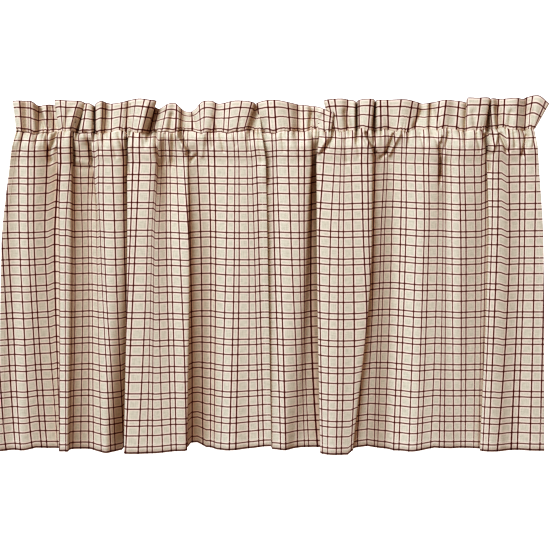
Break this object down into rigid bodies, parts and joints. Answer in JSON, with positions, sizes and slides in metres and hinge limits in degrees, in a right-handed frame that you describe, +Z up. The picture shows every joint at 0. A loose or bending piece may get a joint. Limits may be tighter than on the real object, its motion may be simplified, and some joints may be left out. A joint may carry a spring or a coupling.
{
  "type": "pair of tier curtains",
  "caption": "Pair of gathered tier curtains in checked cloth, each with a ruffled heading above an open rod pocket, hanging in uneven folds.",
  "frame": {"origin": "middle of the pair on the rod line, at the gather stitch that tops the rod pockets", "axes": "+X to the right along the rod as seen from the front, +Y back towards the wall, +Z up; the curtains face -Y"},
  "size_m": [1.4263, 0.0929, 0.9262],
  "materials": {
    "check_cloth": "matt woven cotton with a dark red windowpane check"
  },
  "bodies": {
    "root": {"left_panel": "check_cloth", "left_heading": "check_cloth", "right_panel": "check_cloth", "right_heading": "check_cloth"}
  },
  "joints": []
}
